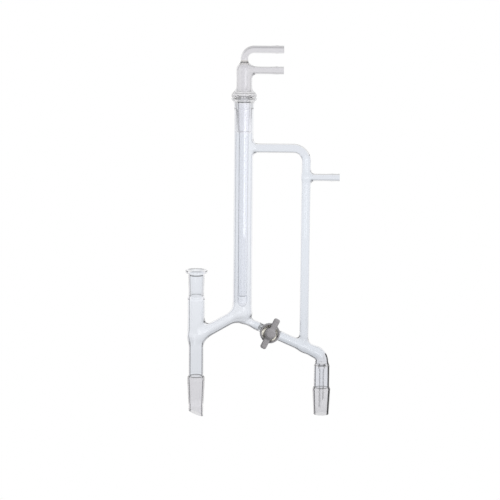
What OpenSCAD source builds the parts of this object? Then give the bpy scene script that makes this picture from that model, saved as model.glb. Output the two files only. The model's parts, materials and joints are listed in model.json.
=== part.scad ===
// Distillation head: clear blown glass with a cold finger and a take-off stopcock.
// Millimetres. +Z is up, +X points to the receiver, -Y to the front, where the handle is.
// The origin is the centre of the flask cone's large end, on the left column's axis.
// All glass tubes lie in the plane Y = 0, so their places are given as [x, z].

/* [Ground joints] */
// Large-end diameter of the flask cone and the receiver cone
cone_d = 24; // [20:0.5:29]
// Large-end diameter of the cold finger's joint and of the thermometer socket
small_joint_d = 18.8; // [17:0.2:20]
// Length along the axis in which a ground taper loses one unit of diameter
taper = 10; // [9:0.5:12]
// Ground length of the flask cone
flask_cone_l = 35; // [28:1:40]
// Ground length of the receiver cone
receiver_cone_l = 34; // [28:1:40]
// Ground length of the small joints
small_joint_l = 37; // [30:1:40]
// Radial gap between a ground cone and its socket
ground_gap = 0.05; // [0.02:0.01:0.1]
// Wall of the glass round a ground socket
socket_wall = 1.8; // [1.5:0.1:2.2]
// Diameter of the glass bead round a rim
bead_d = 3.6; // [3:0.2:4]

/* [Glass tubing] */
// Wall of the large tubes
wall = 1.5; // [1.2:0.1:1.8]
// Wall of the narrow tubes and the nozzles
thin_wall = 1.3; // [1:0.1:1.5]

/* [Left column] */
// Outer diameter of the neck above the flask cone
neck_d = 20.4; // [18:0.2:22]
// Outer diameter of the tube above the neck
riser_d = 23.4; // [22:0.2:26]
// Height at which the neck begins to widen
neck_top_z = 52; // [30:1:55]
// Height of the thermometer socket's rim
probe_rim_z = 151; // [145:1:190]
// Outer diameter of the thermometer socket's rim
probe_rim_d = 30; // [28:0.5:34]
// Length of the plain drip tip below the flask cone, on its long side
flask_tip_l = 17; // [13:1:25]
// Slope of the drip tip's cut
flask_tip_cut = 22; // [0:1:30]

/* [Centre column] */
// Distance from the left column to the centre column
column_x = 62.5; // [60:0.5:75]
// Outer diameter of the centre column
column_d = 26; // [25:0.2:30]
// Height of the centre of the column's round bottom
column_bottom_z = 92.2; // [91:0.2:95]
// Height of the socket's rim on the centre column
column_rim_z = 384; // [340:1:420]
// Outer diameter of the flared socket mouth
mouth_d = 34; // [32:0.5:38]
// Outer diameter of the vapour tube from the left column
vapour_d = 15.8; // [14:0.2:17]
// Height at which the vapour tube's axis leaves the left column
vapour_z = 57.8; // [55:0.2:62]
// Slope of the vapour tube
vapour_slope = 30; // [28:1:32]

/* [Cold finger] */
// Outer diameter of the jacket below the joint
jacket_d = 14.4; // [12:0.2:14.8]
// Space between the jacket's tip and the centre of the column's round bottom
jacket_lift = 8; // [2:0.5:20]
// Outer diameter of the head above the joint
head_d = 21; // [18:0.2:22]
// Height of the head's dome above the socket rim
head_h = 47; // [45:1:60]
// Outer diameter of the collar that lies over the socket mouth
collar_d = 34; // [31:0.5:36]
// Outer diameter of the inner water tube
water_tube_d = 8; // [7:0.2:8.6]
// Outer diameter of the tubing on the outside
outlet_d = 9.8; // [9:0.2:10.4]
// Height of the upper nozzle above the lower one
nozzle_pitch = 27.6; // [25:0.2:34]
// Bend radius of the upper water tube
water_bend_r = 12.5; // [11:0.5:14]
// Reach of both water nozzles from the column's axis
water_reach = 52.4; // [42:0.2:58]

/* [Bypass] */
// Distance from the left column to the bypass tube
bypass_x = 146.6; // [140:0.2:151]
// Outer diameter of the bypass tube
bypass_d = 12.4; // [11:0.2:14]
// Height of the bypass tube's upper run
bypass_z = 316.7; // [290:0.1:340]
// Bend radius of the bypass tube
bypass_bend_r = 17.5; // [14:0.5:22]
// Height of the vacuum nozzle
vacuum_z = 278; // [150:1:285]
// Reach of the vacuum nozzle from the bypass tube's axis
vacuum_reach = 44.8; // [38:0.2:60]

/* [Hose nozzles] */
// Outer diameter of a hose nozzle
nozzle_d = 10.2; // [9.8:0.1:10.8]
// Plain cylindrical length at a nozzle's end
nozzle_tip_l = 8; // [5:0.5:10]
// Length of a nozzle's slightly thicker stretch
nozzle_l = 16; // [14:0.5:20]
// Height of the rounded ridge on a nozzle
ridge_h = 0.5; // [0.3:0.1:0.8]

/* [Take-off line] */
// Distance from the left column to the stopcock
cock_x = 99; // [96:0.5:108]
// Height of the stopcock
cock_z = 67.2; // [66:0.1:68]
// Fall of the take-off line
line_fall = 24; // [22:0.5:25]
// Outer diameter of the line before the stopcock
line_in_d = 12; // [11:0.2:13]
// Outer diameter of the line after the stopcock
line_out_d = 13.8; // [12:0.2:15]

/* [Receiver joint] */
// Distance from the left column to the receiver joint
receiver_x = 171.6; // [168:0.2:176]
// Outer diameter of the bend above the receiver joint
elbow_d = 17.6; // [16:0.2:20]
// Bend radius of that bend
elbow_r = 14; // [12:0.5:16]
// Depth of the ring seal, where the drip tube is sealed in, below the bend's end
seal_drop = 4.4; // [3.4:0.1:7]
// Outer diameter of the receiver tube
receiver_d = 21.2; // [20:0.2:22]
// Height of the receiver cone's large end, below the origin if negative
receiver_cone_z = -13.6; // [-20:0.2:-10]
// Outer diameter of the inner drip tube
drip_d = 6.6; // [6:0.2:9]
// Height of the drip tube's point
drip_tip_z = -38; // [-46:1:-30]
// Length of the drip tube's slanted cut
drip_cut_l = 23; // [10:1:25]

/* [Stopcock] */
// How far the stopcock's front is turned up about the take-off line
cock_tilt = 6; // [0:0.5:10]
// Diameter of the plug at the barrel's front end
plug_d = 17; // [16:0.2:18]
// Length along the axis in which the plug loses one unit of diameter
plug_taper = 5; // [5:0.5:8]
// Length of the glass barrel
barrel_l = 34; // [32:1:38]
// Wall of the glass barrel
barrel_wall = 2.2; // [1.8:0.1:2.4]
// Radial gap between the plug and the barrel
plug_gap = 0.05; // [0.03:0.01:0.1]
// Diameter of the cross bore
port_d = 4; // [2:0.5:4.5]
// Angle of the handle's bar above the horizontal when the stopcock is closed
handle_angle = 62.6; // [55:0.2:70]
// Length of the handle's bar
bar_l = 44.5; // [40:0.5:50]
// Width of the handle's bar
bar_w = 8.4; // [7:0.2:9]
// Thickness of the handle's bar
bar_t = 6.5; // [5:0.5:8]
// Outer diameter of the handle's ring
ring_d = 26.8; // [26:0.2:30]
// Width of the handle's ring
ring_w = 2.2; // [1.8:0.1:2.4]
// Diameter of the handle's hub
hub_d = 15; // [14:0.2:17]
// How far the hub stands in front of the bar
hub_h = 3.5; // [2:0.5:5]
// Diameter of the plug's tail behind the barrel
tail_d = 6; // [5:0.2:7]
// Outer diameter of the nut behind the barrel
nut_d = 16; // [14:0.5:18]
// Length of the nut
nut_l = 8; // [6:0.5:10]
// Thickness of the washer
washer_t = 1.5; // [1:0.1:2]
// Section diameter of the rubber ring
o_ring_section = 2.6; // [2:0.1:3]

/* [Hidden] */
$fn = 96;
cut = 1;                 // how far a cutting solid runs past what it cuts
slip = 0.05;             // clearance between loose pieces that lie face to face
cone_land = 1.6;          // plain glass above a cone's large end
shoulder_l = 3;          // length over which a cone's land narrows to its tube
tip_step = 0.4;          // how much thinner than the ground end a plain tip is
seat_gap = 0.3;          // gap between the finger's collar and the socket rim
head_flange = 3;         // thickness of the plug's round head
drive_d = 10;            // the plug's drive boss, which fits inside the handle's hub
drive_l = 7;             // length of that boss
drive_flat = 4;          // distance from the axis to the boss's flat
mouth_h = 17;            // height over which the socket mouth flares
riser_shoulder = 8;      // height over which the neck widens to the riser
socket_step = 2;         // height over which the glass widens below a ground socket
socket_foot = 1;         // extra glass at the foot of the thermometer socket
socket_top = 5.5;        // glass from the ring seal to the centre socket's large end
throat = 3;              // height of the bore's funnel below that socket
mouth_wall = 4.5;        // glass between the socket mouth's funnel and its rim's edge
mouth_taper = 0.9;       // how much narrower the rim's root is than its edge
funnel_h = 3;            // height of the ring seal's funnel
collar_h = 13;           // height of the finger's hollow collar
collar_edge = 2;         // height of the collar's widest line above its flat underside
collar_side = 5;         // height at which the collar begins to slope in
collar_round = 0.8;      // how much the collar narrows above and below its widest line
collar_neck = 3;         // height over which the collar's slope runs out into the head
seal_t = 1.5;            // thickness of the ring seal's glass
funnel_lip = 0.3;        // how much narrower the funnel's foot is than the drip tube's bore
tail_land = 2;           // tail left showing behind the nut
head_lift = 2;           // plug left showing between the barrel and the plug's head
bar_stand = 5;           // how far the bar stands in front of the plug's head
ring_sink = 0.6;         // how far the ring reaches into the bar
arm_stop = 1;            // glass between an arm's bore and the barrel's outside
line_sink = 2;           // where the take-off line starts inside the column, right of its axis
line_swell = 5;          // length over which the line reaches its full size outside the column
elbow_swell = 3;         // length over which the elbow's cone is buried in the line
elbow_step = 1;          // how much thinner than the line the buried end is
side_drop = 4.6;         // how far the lower water nozzle's axis is above the dome's shoulder
ridge_l = 1.5;           // half the length of a nozzle's ridge
weld = 0.2;              // how much thinner a straight tube is than the bend that it is fused to
weld_in = 0.3;           // how far its end sinks into that bend

// Radius of a ground taper at a distance below its large end
function ground_r(d, below) = d / 2 - below / (2 * taper);
// The end of a stretch, moved on a little past its end point
function past(p, q, by = weld_in) = q + by * (q - p) / norm(q - p);
// A point on a sloping line through a known point
function on_line(p, slope, x) = [x, p[1] + (x - p[0]) * tan(slope)];

column_r = column_d / 2;
column_bore = column_r - wall;
cock = [cock_x, cock_z];
line_slope = -line_fall;
line_start = on_line(cock, line_slope, column_x + line_sink);
line_full = on_line(cock, line_slope, column_x + column_r + line_swell);
line_corner = on_line(cock, line_slope, receiver_x);
elbow_run = elbow_r * tan((90 - line_fall) / 2);
elbow_from = line_corner + elbow_run * [-cos(line_fall), sin(line_fall)];
elbow_to_z = line_corner[1] - elbow_run;
seal_z = elbow_to_z - seal_drop;
vapour_from = [0, vapour_z];
vapour_to = on_line(vapour_from, vapour_slope, column_x);
bypass_foot = on_line(cock, line_slope, bypass_x);
swell_from = on_line(cock, line_slope, bypass_x + bypass_d / 2 + elbow_swell / 2);
swell_cone = on_line(cock, line_slope, bypass_x + bypass_d / 2 - elbow_swell / 2);
bypass_corner = [bypass_x - bypass_bend_r, bypass_z - bypass_bend_r];
dome_z = column_rim_z + head_h;
water_low_z = dome_z - head_d / 2 - outlet_d / 2 + side_drop;
water_high_z = water_low_z + nozzle_pitch;
finger_end_z = column_bottom_z + jacket_lift;
collar_z = column_rim_z + seat_gap;
gauge_z = column_rim_z - mouth_h / 2;
socket_end_z = gauge_z - small_joint_l;
probe_end_z = probe_rim_z - small_joint_l;
flask_end_z = -flask_cone_l - flask_tip_l;
receiver_end_z = receiver_cone_z - receiver_cone_l;
barrel_front = -barrel_l / 2;
barrel_back = barrel_l / 2;
plug_end_r = plug_d / 2 - barrel_l / (2 * plug_taper);
head_back = barrel_front - head_lift;
head_front = head_back - head_flange;
bar_back = head_front - bar_stand;
bar_front = bar_back - bar_t;
ring_l = head_back - bar_back + ring_sink;
hub_front = bar_front - hub_h;

// Plain round tube stretch between two points of the glass plane
module rod(p, q, d1, d2) {
    run = q - p;
    translate([p[0], 0, p[1]]) rotate([0, atan2(run[0], run[1]), 0])
        cylinder(h = norm(run), d1 = d1, d2 = d2);
}

// Quarter or part of a ring in the glass plane, from one angle to another
module bend(centre, r, from, to, d) {
    translate([centre[0], 0, centre[1]]) rotate([90, -from, 0])
        rotate_extrude(angle = to - from) translate([r, 0]) circle(d = d);
}

// Solid of revolution about an upright axis, from a list of [radius, z] that starts and ends on the outside
module turned(x, outline) {
    last = len(outline) - 1;
    translate([x, 0, 0]) rotate_extrude()
        polygon(concat([[0, outline[0][1]]], outline, [[0, outline[last][1]]]));
}

// Round bead on a rim
module bead(x, z, d) {
    translate([x, 0, z]) rotate_extrude() translate([(d - bead_d) / 2, 0]) circle(d = bead_d);
}

// A hose nozzle's outside that ends at the given point and points along +X
module nozzle(end) {
    translate([end[0], 0, end[1]]) rotate([0, -90, 0]) {
        cylinder(h = nozzle_tip_l, d = nozzle_d);
        translate([0, 0, nozzle_tip_l]) cylinder(h = nozzle_l - nozzle_tip_l, d = nozzle_d);
        translate([0, 0, nozzle_tip_l]) {
            cylinder(h = ridge_l, d1 = nozzle_d, d2 = nozzle_d + 2 * ridge_h);
            translate([0, 0, ridge_l]) cylinder(h = ridge_l, d1 = nozzle_d + 2 * ridge_h, d2 = nozzle_d);
        }
    }
}

module left_column_outside() {
    turned(0, [
        [ground_r(cone_d, flask_cone_l) - tip_step, flask_end_z],
        [ground_r(cone_d, flask_cone_l) - tip_step, -flask_cone_l],
        [ground_r(cone_d, flask_cone_l), -flask_cone_l],
        [cone_d / 2, 0],
        [cone_d / 2, cone_land],
        [neck_d / 2, cone_land + shoulder_l],
        [neck_d / 2, neck_top_z],
        [riser_d / 2, neck_top_z + riser_shoulder],
        [riser_d / 2, probe_end_z],
        [ground_r(small_joint_d, small_joint_l) + socket_wall + socket_foot, probe_end_z + socket_step],
        [small_joint_d / 2 + socket_wall, probe_rim_z - bead_d / 2],
        [probe_rim_d / 2 - bead_d / 2, probe_rim_z - bead_d],
        [probe_rim_d / 2 - bead_d / 2, probe_rim_z]]);
    bead(0, probe_rim_z - bead_d / 2, probe_rim_d);
}

module left_column_bore() {
    turned(0, [
        [ground_r(cone_d, flask_cone_l) - tip_step - wall, flask_end_z - cut],
        [ground_r(cone_d, flask_cone_l) - tip_step - wall, -flask_cone_l],
        [cone_d / 2 - wall, cone_land],
        [neck_d / 2 - wall, cone_land + shoulder_l],
        [neck_d / 2 - wall, neck_top_z],
        [riser_d / 2 - wall, neck_top_z + riser_shoulder],
        [riser_d / 2 - wall, probe_end_z - throat],
        [ground_r(small_joint_d, small_joint_l), probe_end_z],
        [small_joint_d / 2, probe_rim_z],
        [small_joint_d / 2, probe_rim_z + cut]]);
}

module centre_column_outside() {
    turned(column_x, [
        [column_r, column_bottom_z],
        [column_r, column_rim_z - mouth_h],
        [(mouth_d - bead_d) / 2 - mouth_taper, column_rim_z - bead_d],
        [(mouth_d - bead_d) / 2, column_rim_z]]);
    translate([column_x, 0, column_bottom_z]) sphere(r = column_r);
    bead(column_x, column_rim_z - bead_d / 2, mouth_d);
}

module centre_column_bore() {
    difference() {
        turned(column_x, [
            [column_bore, column_bottom_z],
            [column_bore, gauge_z - socket_top]]);
        turned(column_x, [
            [ground_r(small_joint_d, small_joint_l) + socket_wall, socket_end_z],
            [small_joint_d / 2 + socket_wall, gauge_z]]);
    }
    translate([column_x, 0, column_bottom_z]) sphere(r = column_bore);
    turned(column_x, [
        [ground_r(small_joint_d, small_joint_l), socket_end_z - cut],
        [ground_r(small_joint_d, small_joint_l), socket_end_z],
        [small_joint_d / 2, gauge_z],
        [mouth_d / 2 - mouth_wall, column_rim_z],
        [mouth_d / 2 - mouth_wall, column_rim_z + cut]]);
}

module receiver_outside() {
    turned(receiver_x, [
        [ground_r(cone_d, receiver_cone_l), receiver_end_z],
        [cone_d / 2, receiver_cone_z],
        [cone_d / 2, receiver_cone_z + cone_land],
        [receiver_d / 2, receiver_cone_z + cone_land + shoulder_l],
        [receiver_d / 2, seal_z],
        [(elbow_d - weld) / 2, elbow_to_z + weld_in]]);
}

module receiver_bore() {
    turned(receiver_x, [
        [ground_r(cone_d, receiver_cone_l) - wall, receiver_end_z - cut],
        [ground_r(cone_d, receiver_cone_l) - wall, receiver_end_z],
        [cone_d / 2 - wall, receiver_cone_z + cone_land],
        [receiver_d / 2 - wall, receiver_cone_z + cone_land + shoulder_l],
        [receiver_d / 2 - wall, seal_z - seal_t]]);
    turned(receiver_x, [
        [drip_d / 2 - thin_wall - funnel_lip, seal_z],
        [receiver_d / 2 - wall, seal_z + funnel_h],
        [(elbow_d - weld) / 2 - wall, elbow_to_z + weld_in]]);
}

// The drip tube hangs from the ring seal and ends in a slanted cut
module drip_tube_outside() {
    slant = atan2(drip_d, drip_cut_l);
    difference() {
        translate([receiver_x, 0, drip_tip_z]) cylinder(h = seal_z - drip_tip_z - seal_t / 2, d = drip_d);
        translate([receiver_x - drip_d / 2, 0, drip_tip_z]) rotate([0, slant, 0])
            translate([0, -drip_d, -drip_d]) cube([2 * drip_d, 2 * drip_d, 2 * drip_cut_l]);
    }
}

module drip_tube_bore() {
    translate([receiver_x, 0, drip_tip_z - cut])
        cylinder(h = seal_z - drip_tip_z + 2 * cut, d = drip_d - 2 * thin_wall);
}

// Outside of every narrow tube
module tubes_outside() {
    rod(vapour_from, vapour_to, vapour_d, vapour_d);
    rod(line_start, past(line_start, line_full), line_in_d / 2, line_in_d - weld);
    rod(line_full, cock, line_in_d, line_in_d);
    rod(cock, swell_from, line_out_d, line_out_d);
    rod(swell_cone, past(cock, elbow_from), line_out_d - elbow_step, elbow_d - weld);
    bend(elbow_from - elbow_r * [sin(line_fall), cos(line_fall)], elbow_r, 0, 90 - line_fall, elbow_d);
    rod(bypass_foot, [bypass_x, bypass_corner[1] + weld_in], bypass_d - weld, bypass_d - weld);
    bend(bypass_corner, bypass_bend_r, 0, 90, bypass_d);
    rod([column_x, bypass_z], [bypass_corner[0] + weld_in, bypass_z], bypass_d - weld, bypass_d - weld);
    rod([bypass_x, vacuum_z], [bypass_x + vacuum_reach - nozzle_l, vacuum_z], outlet_d, outlet_d);
    nozzle([bypass_x + vacuum_reach, vacuum_z]);
}

// Bore of every narrow tube; the line's bore narrows to the port at the stopcock
module tubes_bore() {
    stop_r = plug_d / 2 + barrel_wall + arm_stop;
    fall = [cos(line_fall), -sin(line_fall)];
    bypass_bore = bypass_d - 2 * thin_wall;
    rod(vapour_from, vapour_to, vapour_d - 2 * wall, vapour_d - 2 * wall);
    rod(line_start, past(line_start, line_full), line_in_d / 2 - wall, line_in_d - weld - 2 * wall);
    rod(line_full, cock - stop_r * fall, line_in_d - 2 * wall, line_in_d - 2 * wall);
    rod(cock - (stop_r + cut) * fall, cock + (stop_r + cut) * fall, port_d, port_d);
    rod(cock + stop_r * fall, swell_from, line_out_d - 2 * wall, line_out_d - 2 * wall);
    rod(swell_cone, past(cock, elbow_from), line_out_d - elbow_step - 2 * wall, elbow_d - weld - 2 * wall);
    bend(elbow_from - elbow_r * [sin(line_fall), cos(line_fall)], elbow_r, 0, 90 - line_fall,
         elbow_d - 2 * wall);
    rod(bypass_foot, [bypass_x, bypass_corner[1] + weld_in], bypass_bore - weld, bypass_bore - weld);
    bend(bypass_corner, bypass_bend_r, 0, 90, bypass_bore);
    rod([column_x, bypass_z], [bypass_corner[0] + weld_in, bypass_z], bypass_bore - weld, bypass_bore - weld);
    rod([bypass_x, vacuum_z], [bypass_x + vacuum_reach + cut, vacuum_z],
        outlet_d - 2 * wall, outlet_d - 2 * wall);
}

// Places its children with +Z pointing to the back along the stopcock's axis
module at_cock() {
    translate([cock_x, 0, cock_z]) rotate([0, line_fall, 0]) rotate([-cock_tilt, 0, 0])
        rotate([0, -line_fall, 0]) rotate([-90, 0, 0]) children();
}

module barrel_outside() {
    r = barrel_wall + plug_gap;
    at_cock() translate([0, 0, barrel_front])
        cylinder(h = barrel_l, r1 = plug_d / 2 + r, r2 = plug_end_r + r);
}

module barrel_bore() {
    slope = 1 / (2 * plug_taper);
    at_cock() translate([0, 0, barrel_front - cut])
        cylinder(h = barrel_l + 2 * cut, r1 = plug_d / 2 + plug_gap + cut * slope,
                 r2 = plug_end_r + plug_gap - cut * slope);
}

module head_glass() {
    color([0.86, 0.9, 0.93, 0.45]) difference() {
        union() {
            difference() {
                union() {
                    left_column_outside();
                    centre_column_outside();
                    receiver_outside();
                    tubes_outside();
                    barrel_outside();
                }
                left_column_bore();
                centre_column_bore();
                receiver_bore();
                tubes_bore();
                barrel_bore();
                translate([ground_r(cone_d, flask_cone_l), 0, flask_end_z]) rotate([0, flask_tip_cut, 0])
                    translate([-3 * cone_d, -cone_d, -2 * cone_d]) cube([4 * cone_d, 2 * cone_d, 2 * cone_d]);
            }
            drip_tube_outside();
        }
        drip_tube_bore();
    }
}

// Outline of the collar's outside, or of its hollow when inset by the wall
function collar_outline(inset) = [
    [collar_d / 2 - collar_round - inset, collar_z + inset],
    [collar_d / 2 - inset, collar_z + max(collar_edge, inset + cut)],
    [collar_d / 2 - collar_round - inset, collar_z + collar_side],
    [head_d / 2 + collar_neck / 2 - inset, collar_z + collar_h - collar_neck],
    [head_d / 2 - inset, collar_z + collar_h]];

module finger_outside() {
    turned(column_x, concat([
        [jacket_d / 2, finger_end_z + jacket_d / 2],
        [jacket_d / 2, socket_end_z - socket_step],
        [ground_r(small_joint_d, small_joint_l) - ground_gap, socket_end_z],
        [small_joint_d / 2 - ground_gap, gauge_z],
        [small_joint_d / 2 - ground_gap, collar_z]],
        collar_outline(0),
        [[head_d / 2, dome_z - head_d / 2]]));
    translate([column_x, 0, finger_end_z + jacket_d / 2]) sphere(d = jacket_d);
    translate([column_x, 0, dome_z - head_d / 2]) sphere(d = head_d);
    rod([column_x, dome_z - head_d / 2], [column_x, water_high_z - water_bend_r], outlet_d, outlet_d);
    bend([column_x + water_bend_r, water_high_z - water_bend_r], water_bend_r, 90, 180, outlet_d);
    rod([column_x + water_bend_r, water_high_z], [column_x + water_reach - nozzle_l, water_high_z],
        outlet_d, outlet_d);
    rod([column_x, water_low_z], [column_x + water_reach - nozzle_l, water_low_z], outlet_d, outlet_d);
    nozzle([column_x + water_reach, water_high_z]);
    nozzle([column_x + water_reach, water_low_z]);
}

// Space between the jacket and the inner water tube
module finger_bore() {
    turned(column_x, concat([
        [jacket_d / 2 - thin_wall, finger_end_z + jacket_d / 2],
        [jacket_d / 2 - thin_wall, socket_end_z],
        [small_joint_d / 2 - socket_wall, gauge_z],
        [small_joint_d / 2 - socket_wall, collar_z + wall]],
        collar_outline(wall),
        [[head_d / 2 - wall, dome_z - head_d / 2]]));
    translate([column_x, 0, finger_end_z + jacket_d / 2]) sphere(d = jacket_d - 2 * thin_wall);
    translate([column_x, 0, dome_z - head_d / 2]) sphere(d = head_d - 2 * wall);
    rod([column_x, water_low_z], [column_x + water_reach + cut, water_low_z],
        outlet_d - 2 * wall, outlet_d - 2 * wall);
}

module water_tube_bore() {
    bore = water_tube_d - 2 * thin_wall;
    rod([column_x, finger_end_z + jacket_d], [column_x, water_high_z - water_bend_r], bore, bore);
    bend([column_x + water_bend_r, water_high_z - water_bend_r], water_bend_r, 90, 180, bore);
    rod([column_x + water_bend_r, water_high_z], [column_x + water_reach + cut, water_high_z], bore, bore);
}

module cold_finger() {
    color([0.9, 0.88, 0.91, 0.6]) difference() {
        union() {
            difference() {
                finger_outside();
                finger_bore();
            }
            rod([column_x, finger_end_z + jacket_d + cut], [column_x, dome_z - wall / 2],
                water_tube_d, water_tube_d);
        }
        water_tube_bore();
    }
}

module stopcock_plug() {
    nut_back = barrel_back + washer_t + o_ring_section + nut_l + 3 * slip;
    color([0.93, 0.91, 0.86]) difference() {
        at_cock() {
            translate([0, 0, barrel_front]) cylinder(h = barrel_l, r1 = plug_d / 2, r2 = plug_end_r);
            translate([0, 0, head_back - cut]) cylinder(h = barrel_front - head_back + cut, d = plug_d);
            translate([0, 0, head_front])
                cylinder(h = head_flange, d = ring_d - 2 * ring_w - 2 * seat_gap);
            translate([0, 0, head_front - drive_l]) intersection() {
                cylinder(h = drive_l + cut, d = drive_d);
                translate([-drive_d, -drive_flat, 0]) cube([2 * drive_d, 2 * drive_d, drive_l + cut]);
            }
            translate([0, 0, barrel_back - cut])
                cylinder(h = nut_back + tail_land - barrel_back + cut, d = tail_d);
        }
        at_cock() rotate([0, 0, -handle_angle]) rotate([0, 90, 0])
            cylinder(h = 2 * plug_d, d = port_d, center = true);
    }
}

module stopcock_handle() {
    color([0.58, 0.57, 0.58]) difference() {
        at_cock() {
            translate([0, 0, bar_back - ring_sink]) difference() {
                cylinder(h = ring_l, d = ring_d);
                translate([0, 0, -cut]) cylinder(h = ring_l + 2 * cut, d = ring_d - 2 * ring_w);
            }
            translate([0, 0, hub_front]) cylinder(h = head_front - slip - hub_front, d = hub_d);
            rotate([0, 0, -handle_angle]) translate([0, 0, bar_front]) intersection() {
                translate([-bar_l / 2, -bar_w / 2, 0]) cube([bar_l, bar_w, bar_t]);
                translate([0, 0, -cut]) cylinder(h = bar_t + 2 * cut, d = bar_l);
            }
        }
        at_cock() translate([0, 0, head_front - drive_l - slip]) intersection() {
            cylinder(h = drive_l + cut, d = drive_d + 2 * slip);
            translate([-drive_d, -drive_flat - slip, 0]) cube([2 * drive_d, 2 * drive_d, drive_l + cut]);
        }
    }
}

module stopcock_washer() {
    color([0.95, 0.94, 0.92]) at_cock() translate([0, 0, barrel_back + slip]) difference() {
        cylinder(h = washer_t, d = nut_d);
        translate([0, 0, -cut]) cylinder(h = washer_t + 2 * cut, d = tail_d + 2 * slip);
    }
}

module stopcock_o_ring() {
    color([0.25, 0.16, 0.12]) at_cock()
        translate([0, 0, barrel_back + washer_t + 2 * slip + o_ring_section / 2])
            rotate_extrude()
                translate([tail_d / 2 + slip + o_ring_section / 2, 0])
                    circle(d = o_ring_section);
}

module stopcock_nut() {
    color([0.58, 0.57, 0.58]) at_cock()
        translate([0, 0, barrel_back + washer_t + o_ring_section + 3 * slip]) difference() {
            cylinder(h = nut_l, d = nut_d);
            translate([0, 0, -cut]) cylinder(h = nut_l + 2 * cut, d = tail_d + 2 * slip);
        }
}

head_glass();
cold_finger();
stopcock_plug();
stopcock_handle();
stopcock_washer();
stopcock_o_ring();
stopcock_nut();
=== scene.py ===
"""Looks of the distillation head: blown glass, a grey moulded handle and a PTFE plug round the CAD frame.

Lengths are in millimetres in the frame's own axes until a mesh is made, and in metres after that.
Every glass tube lies in the plane Y = 0, so its places are given as (x, z).
"""

import json
import math

import bpy
import numpy as np
from mathutils import Matrix, Vector

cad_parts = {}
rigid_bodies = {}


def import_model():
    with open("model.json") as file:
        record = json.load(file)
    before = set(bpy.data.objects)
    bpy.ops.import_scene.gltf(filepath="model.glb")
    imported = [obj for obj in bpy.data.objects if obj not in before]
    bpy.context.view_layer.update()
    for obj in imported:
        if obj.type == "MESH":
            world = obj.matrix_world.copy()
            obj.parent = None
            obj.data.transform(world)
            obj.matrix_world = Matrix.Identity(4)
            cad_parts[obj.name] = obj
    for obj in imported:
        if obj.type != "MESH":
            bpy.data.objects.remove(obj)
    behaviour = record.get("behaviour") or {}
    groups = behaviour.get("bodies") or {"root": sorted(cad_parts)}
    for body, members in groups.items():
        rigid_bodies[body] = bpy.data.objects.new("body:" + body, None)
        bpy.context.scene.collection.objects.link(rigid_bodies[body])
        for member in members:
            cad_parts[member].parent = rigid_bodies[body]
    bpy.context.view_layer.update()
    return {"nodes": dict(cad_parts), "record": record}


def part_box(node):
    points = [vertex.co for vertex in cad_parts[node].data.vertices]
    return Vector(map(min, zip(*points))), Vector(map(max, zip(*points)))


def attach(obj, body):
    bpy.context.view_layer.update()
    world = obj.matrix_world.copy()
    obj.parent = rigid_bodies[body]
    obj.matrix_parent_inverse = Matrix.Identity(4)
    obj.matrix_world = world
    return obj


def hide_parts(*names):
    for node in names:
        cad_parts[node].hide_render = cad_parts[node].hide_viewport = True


for thing in list(bpy.data.objects):
    bpy.data.objects.remove(thing)
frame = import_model()

MM = 0.001
RECORD = frame["record"]
MOUNTS = {m["name"]: [c / MM for c in m["pos_m"]] for m in RECORD["mounts"]}
STEPS = 96               # corners of a turned piece

# Places from the frame
COLUMN_X = MOUNTS["clamp_zone"][0]
RECEIVER_X, RECEIVER_CONE_Z = MOUNTS["receiver_cone"][0], MOUNTS["receiver_cone"][2]
PROBE_RIM_Z = MOUNTS["thermometer_socket"][2]
LOW_WATER_Z = MOUNTS["water_out"][2]
HIGH_WATER_Z = MOUNTS["water_in"][2]
VACUUM_Z = MOUNTS["vacuum_nozzle"][2]
HEAD_LOW, HEAD_HIGH = [Vector(c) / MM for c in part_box("head_glass")]
FINGER_HIGH = Vector(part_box("cold_finger")[1]) / MM
JOINT = RECORD["behaviour"]["joints"][0]
COCK_X, COCK_Z = JOINT["pos_m"][0] / MM, JOINT["pos_m"][2] / MM
COCK_AXIS = Vector(JOINT["axis"])
VACUUM_END = HEAD_HIGH.x
WATER_END = FINGER_HIGH.x

# Walls
WALL = 1.5
THIN_WALL = 1.3
SOCKET_WALL = 1.8

# Ground joints
CONE_R = 12.0
CONE_END_R = 10.25
CONE_L = 35.0
SMALL_JOINT_R = 9.4
SMALL_JOINT_END_R = 7.55
SMALL_JOINT_L = 37.0
JOINT_GAP = 0.05
RECEIVER_CONE_L = 34.0
RECEIVER_CONE_END_R = 10.3
BEAD_R = 1.8
PROBE_LIP_H = 4.6

# Left column
TIP_R = 9.85
TIP_Z = -52.0
TIP_CUT = 22.0
NECK_R = 10.2
NECK_TOP_Z = 52.0
RISER_R = 11.7
RISER_FROM_Z = 60.0
PROBE_RIM_R = 15.0
VAPOUR_FROM = (0.0, 57.8)
VAPOUR_SLOPE = 30.0
VAPOUR_R = 7.9

# Centre column
COLUMN_R = 13.0
COLUMN_BOTTOM_Z = 92.2
COLUMN_SPLICE_Z = 330.0  # a plain tube below it overlaps the turned part above by 5
RIM_Z = 384.0
MOUTH_R = 17.0
GAUGE_Z = 375.5
SOCKET_END_Z = GAUGE_Z - SMALL_JOINT_L
RING_SEAL_Z = 370.0

# Cold finger
JACKET_R = 7.2
JACKET_END_Z = 100.2
JACKET_SPLICE_Z = 320.0
COLLAR_Z = 384.3
HEAD_R = 10.5
DOME_Z = 431.0
WATER_TUBE_R = 4.0
WATER_TUBE_Z = 115.6
OUTLET_R = 4.9
WATER_BEND_R = 12.5

# Bypass and vacuum nozzle
BYPASS_X = 146.6
BYPASS_Z = 316.7
BYPASS_R = 6.2
BYPASS_BEND_R = 17.5
NOZZLE_R = 5.1
NOZZLE_L = 16.0
RIDGE_FROM_END = 9.5
RIDGE_H = 0.5

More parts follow.
